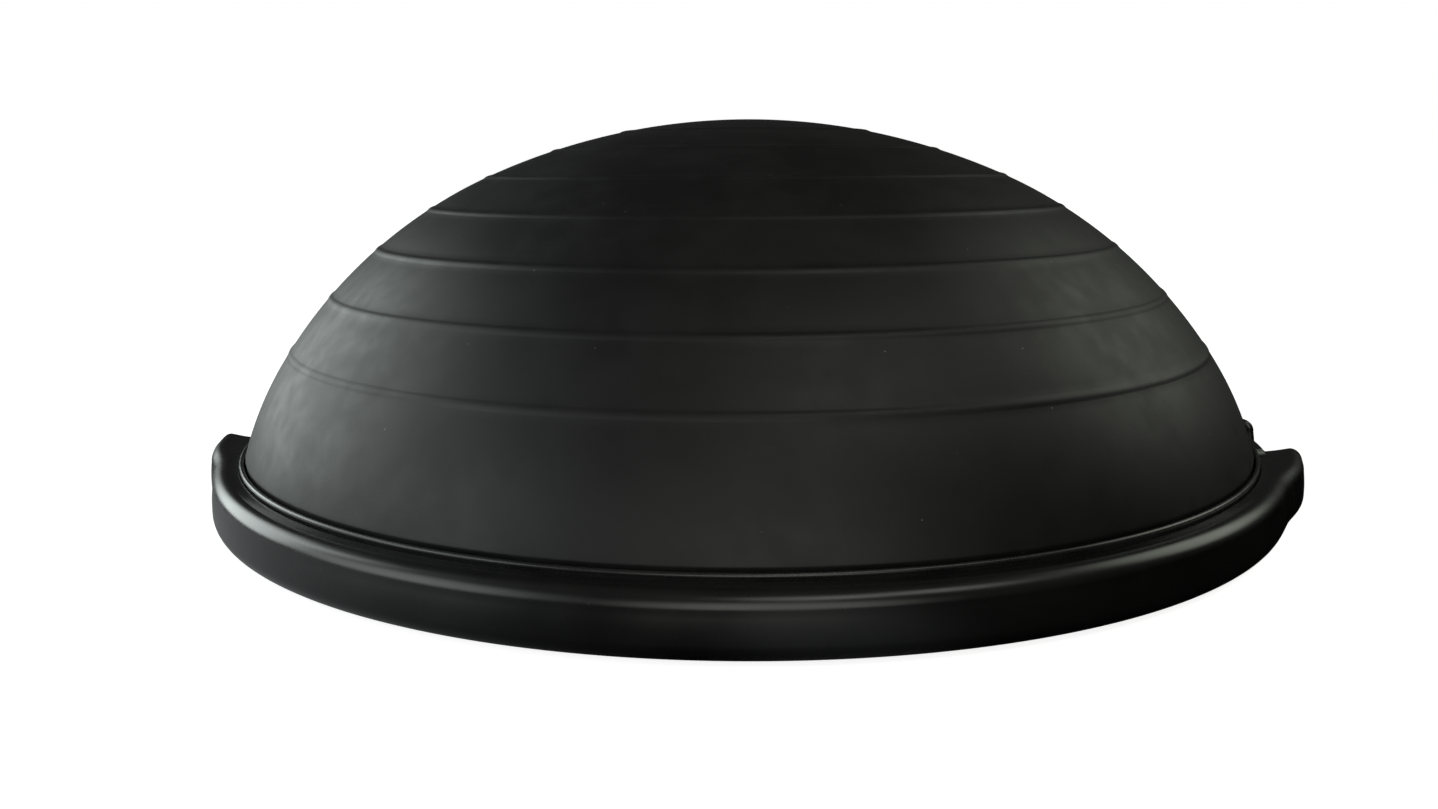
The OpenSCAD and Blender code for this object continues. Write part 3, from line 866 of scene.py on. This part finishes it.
def build_floor():
    """Pale floor with a soft contact shadow. It stays dark in reflections, apart from two glows."""
    half = FLOOR_HALF
    corners = [(-half, -half, 0), (half, -half, 0), (half, half, 0), (-half, half, 0)]
    mesh = bpy.data.meshes.new("floor")
    mesh.from_pydata(corners, [], [(0, 1, 2, 3)])
    floor = bpy.data.objects.new("floor", mesh)
    bpy.context.scene.collection.objects.link(floor)
    material, tree, place = material_tree("floor_pale")
    paper = noise(tree, place, 30 * MM, 4)
    shade = mixed(tree, paper, grey(FLOOR_ALBEDO), grey(0.98 * FLOOR_ALBEDO))
    ground = add(tree, "ShaderNodeBsdfDiffuse", {"Color": shade})
    lift = add(tree, "ShaderNodeEmission", {"Color": grey(1), "Strength": FLOOR_LIFT})
    pale = add(tree, "ShaderNodeAddShader", {0: ground.outputs[0], 1: lift.outputs[0]})
    glow = None
    for centre, radius, strength in FLOOR_GLOWS:
        gap = add(tree, "ShaderNodeVectorMath", {0: place, 1: centre}, operation="DISTANCE").outputs["Value"]
        spot = ramp(tree, gap, radius, 0.2 * radius, 0, strength)
        glow = spot if glow is None else math_node(tree, "ADD", glow, spot)
    dark = add(tree, "ShaderNodeEmission", {"Color": grey(1, (0.95, 0.98, 1)), "Strength": glow})
    camera_ray = add(tree, "ShaderNodeLightPath").outputs["Is Camera Ray"]
    shown = add(tree, "ShaderNodeMixShader", {0: camera_ray, 1: dark.outputs[0], 2: pale.outputs[0]})
    close_tree(tree, shown)
    floor.data.materials.append(material)


def build_world():
    """Pale backdrop for the camera, and soft lights in the dark for everything else."""
    world = bpy.data.worlds.new("studio")
    world.use_nodes = True
    tree = world.node_tree
    tree.nodes.clear()
    toward = add(tree, "ShaderNodeTexCoord").outputs["Generated"]
    total = grey(AMBIENT)
    for azimuth, elevation, full, outer, bright, colour in SOFTBOXES:
        axis = direction(azimuth, elevation)
        near = add(tree, "ShaderNodeVectorMath", {0: toward, 1: axis}, operation="DOT_PRODUCT")
        edge, core = math.cos(math.radians(outer)), math.cos(math.radians(full))
        share = ramp(tree, near.outputs["Value"], edge, core)
        light = mixed(tree, share, grey(0), grey(bright, colour))
        both = {"Factor": 1.0, 6: total, 7: light}
        total = add(tree, "ShaderNodeMix", both, data_type="RGBA", blend_type="ADD").outputs[2]
    lights = add(tree, "ShaderNodeBackground", {"Color": total, "Strength": 1.0})
    backdrop = add(tree, "ShaderNodeBackground", {"Color": grey(PALE), "Strength": 1.0})
    camera_ray = add(tree, "ShaderNodeLightPath").outputs["Is Camera Ray"]
    shown = add(tree, "ShaderNodeMixShader", {0: camera_ray, 1: lights.outputs[0], 2: backdrop.outputs[0]})
    add(tree, "ShaderNodeOutputWorld", {"Surface": shown.outputs[0]})
    bpy.context.scene.world = world


def build_camera():
    """Camera at the viewing angle: low, a little to the right, and near."""
    azimuth = math.radians(CAMERA_AZIMUTH)
    camera = bpy.data.objects.new("camera", bpy.data.cameras.new("camera"))
    camera.data.lens = CAMERA_LENS
    camera.data.sensor_width = CAMERA_SENSOR
    turn = Matrix.Rotation(azimuth + math.radians(CAMERA_YAW), 4, "Z")
    tilt = Matrix.Rotation(math.pi / 2 - math.radians(CAMERA_PITCH), 4, "X")
    spin = Matrix.Rotation(math.radians(CAMERA_ROLL), 4, "Z")
    place = Vector((
        CAMERA_DISTANCE * math.sin(azimuth),
        -CAMERA_DISTANCE * math.cos(azimuth),
        CAMERA_HEIGHT,
    ))
    camera.matrix_world = Matrix.Translation(place) @ turn @ tilt @ spin
    bpy.context.scene.collection.objects.link(camera)
    bpy.context.scene.camera = camera


build_floor()
build_world()
build_camera()
bpy.context.scene.view_settings.view_transform = "Standard"
